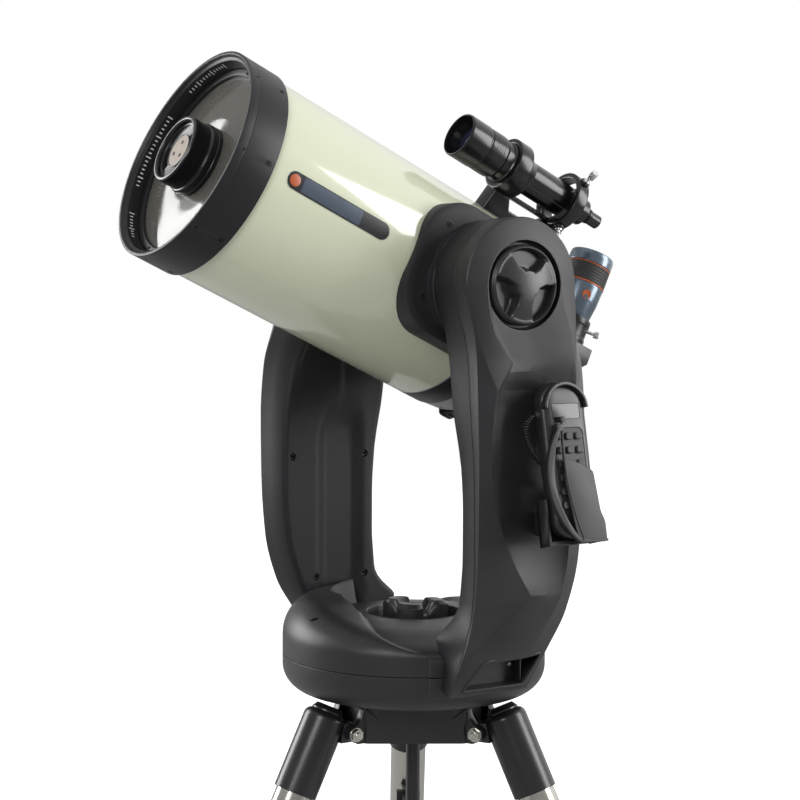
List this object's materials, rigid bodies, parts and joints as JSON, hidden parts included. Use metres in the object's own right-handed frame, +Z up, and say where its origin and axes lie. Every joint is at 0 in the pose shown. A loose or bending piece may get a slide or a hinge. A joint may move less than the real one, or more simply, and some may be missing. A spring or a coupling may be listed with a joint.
{
  "type": "schmidt cassegrain telescope",
  "caption": "Schmidt-Cassegrain telescope on a motorised fork mount, with star diagonal, finder, hand control and folding tripod.",
  "frame": {"origin": "on the azimuth axis at floor level, in the plane of the three feet", "axes": "+Z up the azimuth axis, +X along the altitude axis towards the arm that carries the hand control, the tube looks towards -Y"},
  "size_m": [0.8925, 0.8456, 1.5851],
  "materials": {
    "stand_casting": "semi-gloss",
    "knob_plastic": "textured",
    "steel_tube": "polished",
    "steel_bolt": "bright",
    "arm_paint": "fine texture, satin",
    "arm_cover": "fine texture",
    "base_housing": "fine texture",
    "panel_plastic": "satin",
    "gear_metal": "machined",
    "worm_brass": "machined",
    "motor_can": "satin",
    "circuit_board": "solder mask",
    "tube_enamel": "gloss",
    "cell_paint": "satin",
    "corrector_glass": "coated",
    "mirror_coat": "polished",
    "rear_paint": "satin",
    "black_anodised": "anodised",
    "saddle_paint": "satin",
    "finder_paint": "satin",
    "screw_chrome": "bright",
    "eyepiece_paint": "metallic satin",
    "eyecup_rubber": "matt",
    "handset_plastic": "satin",
    "key_rubber": "matt",
    "cord_jacket": "satin"
  },
  "bodies": {
    "stand": {"tripod_head": "stand_casting", "stand_bolts": "steel_bolt", "center_rod": "steel_tube", "azimuth_base_plate": "gear_metal", "azimuth_ring_gear": "gear_metal"},
    "fork": {"base_upper_housing": "base_housing", "base_lower_housing": "base_housing", "control_panel": "panel_plastic", "right_arm_frame": "arm_paint", "left_arm_frame": "arm_paint", "right_arm_cover": "arm_cover", "left_arm_cover": "arm_cover", "fork_screws": "steel_bolt", "drive_motors": "motor_can", "main_circuit_board": "circuit_board", "handset_holder": "panel_plastic", "handset_shell": "handset_plastic", "handset_cord": "cord_jacket", "handset_plug": "cord_jacket"},
    "tube": {"front_cell": "cell_paint", "corrector_plate": "corrector_glass", "secondary_housing": "finder_paint", "secondary_mirror": "mirror_coat", "optical_tube": "tube_enamel", "rear_cell": "rear_paint", "baffle_tube": "black_anodised", "altitude_saddles": "saddle_paint", "altitude_wheel": "gear_metal", "visual_back": "black_anodised", "finder_bracket": "finder_paint", "finder_scope": "finder_paint", "finder_thumbscrews": "screw_chrome"},
    "leg_1": {"leg_1_castings": "stand_casting", "leg_1_tube": "steel_tube"},
    "leg_1_lower": {"leg_1_extension": "steel_tube"},
    "leg_1_knob": {"leg_1_clamp_knob": "knob_plastic"},
    "leg_2": {"leg_2_castings": "stand_casting", "leg_2_tube": "steel_tube"},
    "leg_2_lower": {"leg_2_extension": "steel_tube"},
    "leg_2_knob": {"leg_2_clamp_knob": "knob_plastic"},
    "leg_3": {"leg_3_castings": "stand_casting", "leg_3_tube": "steel_tube"},
    "leg_3_lower": {"leg_3_extension": "steel_tube"},
    "leg_3_knob": {"leg_3_clamp_knob": "knob_plastic"},
    "brace_knob": {"brace_tension_knob": "knob_plastic"},
    "brace": {"leg_brace": "stand_casting"},
    "keypad": {"handset_keypad": "key_rubber"},
    "switch": {"power_switch": "panel_plastic"},
    "azimuth_knob": {"azimuth_lock_knob": "knob_plastic"},
    "clutch_knob": {"altitude_clutch_knob": "knob_plastic"},
    "azimuth_gear": {"azimuth_worm": "worm_brass"},
    "altitude_gear": {"altitude_worm": "worm_brass"},
    "mirror": {"primary_mirror": "mirror_coat"},
    "focus": {"focus_knob": "knob_plastic"},
    "mirror_lock_1": {"mirror_lock_knob_1": "knob_plastic"},
    "mirror_lock_2": {"mirror_lock_knob_2": "knob_plastic"},
    "diagonal": {"star_diagonal": "black_anodised"},
    "diagonal_screw": {"diagonal_thumbscrew": "screw_chrome"},
    "eyepiece_barrel": {"eyepiece": "eyepiece_paint"},
    "eyecup_ring": {"eyecup": "eyecup_rubber"}
  },
  "joints": [
    {"name": "azimuth_turn", "type": "hinge", "parent": "stand", "child": "fork", "pos_m": [0, 0, 0.75], "axis": [0, 0, 1], "continuous": true},
    {"name": "altitude_turn", "type": "hinge", "parent": "fork", "child": "tube", "pos_m": [0, 0, 1.3], "axis": [-1, 0, 0], "range_deg": [-110, 65]},
    {"name": "leg_1_fold", "type": "hinge", "parent": "stand", "child": "leg_1", "pos_m": [0.09889, 0.05258, 0.711], "axis": [-0.4695, 0.8829, 0], "range_deg": [0, 20]},
    {"name": "leg_1_extend", "type": "slide", "parent": "leg_1", "child": "leg_1_lower", "axis": [0.3801, 0.2021, -0.9026], "range_m": [0, 0.35]},
    {"name": "leg_1_clamp_turn", "type": "hinge", "parent": "leg_1", "child": "leg_1_knob", "pos_m": [0.42837, 0.22777, 0.11249], "axis": [0.7969, 0.4237, 0.4305], "range_deg": [0, 360]},
    {"name": "leg_2_fold", "type": "hinge", "parent": "stand", "child": "leg_2", "pos_m": [-0.09498, 0.05935, 0.711], "axis": [-0.5299, -0.848, 0], "range_deg": [0, 20]},
    {"name": "leg_2_extend", "type": "slide", "parent": "leg_2", "child": "leg_2_lower", "axis": [-0.3651, 0.2281, -0.9026], "range_m": [0, 0.35]},
    {"name": "leg_2_clamp_turn", "type": "hinge", "parent": "leg_2", "child": "leg_2_knob", "pos_m": [-0.41143, 0.25709, 0.11249], "axis": [-0.7654, 0.4783, 0.4305], "range_deg": [0, 360]},
    {"name": "leg_3_fold", "type": "hinge", "parent": "stand", "child": "leg_3", "pos_m": [-0.00391, -0.11193, 0.711], "axis": [0.9994, -0.0349, 0], "range_deg": [0, 20]},
    {"name": "leg_3_extend", "type": "slide", "parent": "leg_3", "child": "leg_3_lower", "axis": [-0.015, -0.4302, -0.9026], "range_m": [0, 0.35]},
    {"name": "leg_3_clamp_turn", "type": "hinge", "parent": "leg_3", "child": "leg_3_knob", "pos_m": [-0.01693, -0.48486, 0.11249], "axis": [-0.0315, -0.902, 0.4305], "range_deg": [0, 360]},
    {"name": "brace_lower", "type": "slide", "parent": "stand", "child": "brace_knob", "axis": [0, 0, -1], "range_m": [0, 0.2241]},
    {"name": "brace_turn", "type": "hinge", "parent": "brace_knob", "child": "brace", "pos_m": [0, 0, 0.551], "axis": [0, 0, 1], "range_deg": [0, 60.1]},
    {"name": "keypad_press", "type": "slide", "parent": "fork", "child": "keypad", "axis": [-0.9806, 0, -0.1961], "range_m": [0, 0.0008], "stiffness_N_per_m": 800},
    {"name": "power_switch_rock", "type": "hinge", "parent": "fork", "child": "switch", "pos_m": [0, 0.167, 0.794], "axis": [1, 0, 0], "range_deg": [0, 16]},
    {"name": "azimuth_lock_turn", "type": "hinge", "parent": "fork", "child": "azimuth_knob", "pos_m": [0, 0, 0.85], "axis": [0, 0, 1], "range_deg": [-30, 30]},
    {"name": "altitude_clutch_turn", "type": "hinge", "parent": "fork", "child": "clutch_knob", "pos_m": [0.237, 0, 1.3], "axis": [1, 0, 0], "range_deg": [-180, 180]},
    {"name": "azimuth_worm_turn", "type": "hinge", "parent": "fork", "child": "azimuth_gear", "pos_m": [0, -0.0974, 0.776], "axis": [1, 0, 0], "continuous": true},
    {"name": "altitude_worm_turn", "type": "hinge", "parent": "fork", "child": "altitude_gear", "pos_m": [0.185, -0.004, 1.2296], "axis": [0, 1, 0], "continuous": true},
    {"name": "primary_mirror_focus", "type": "slide", "parent": "tube", "child": "mirror", "axis": [0, -0.9085, 0.4179], "range_m": [-0.008, 0.008]},
    {"name": "focus_turn", "type": "hinge", "parent": "tube", "child": "focus", "pos_m": [0.044, 0.09534, 1.17226], "axis": [0, -0.9085, 0.4179], "range_deg": [-3604, 3604]},
    {"name": "mirror_lock_1_turn", "type": "hinge", "parent": "tube", "child": "mirror_lock_1", "pos_m": [-0.01684, 0.06804, 1.13682], "axis": [0, 0.9085, -0.4179], "range_deg": [0, 720]},
    {"name": "mirror_lock_2_turn", "type": "hinge", "parent": "tube", "child": "mirror_lock_2", "pos_m": [0.11219, 0.09917, 1.2045], "axis": [0, 0.9085, -0.4179], "range_deg": [0, 720]},
    {"name": "star_diagonal_turn", "type": "hinge", "parent": "tube", "child": "diagonal", "pos_m": [0, 0.1817, 1.21643], "axis": [0, -0.9085, 0.4179], "range_deg": [-45, 45]},
    {"name": "diagonal_screw_turn", "type": "hinge", "parent": "diagonal", "child": "diagonal_screw", "pos_m": [0, 0.25947, 1.2467], "axis": [0.5736, 0.7442, -0.3423], "range_deg": [0, 720]},
    {"name": "eyepiece_lift", "type": "slide", "parent": "diagonal", "child": "eyepiece_barrel", "axis": [0, 0.4179, 0.9085], "range_m": [0, 0.03]},
    {"name": "eyecup_raise", "type": "slide", "parent": "eyepiece_barrel", "child": "eyecup_ring", "axis": [0, 0.4179, 0.9085], "range_m": [0, 0.008]}
  ],
  "couplings": [
    {"joint": "leg_2_fold", "follows": "leg_1_fold", "ratio": 1},
    {"joint": "leg_3_fold", "follows": "leg_1_fold", "ratio": 1},
    {"joint": "brace_lower", "follows": "leg_1_fold", "m_per_rad": 0.64171},
    {"joint": "brace_turn", "follows": "leg_1_fold", "ratio": 3},
    {"joint": "focus_turn", "follows": "primary_mirror_focus", "rad_per_m": 7854}
  ]
}
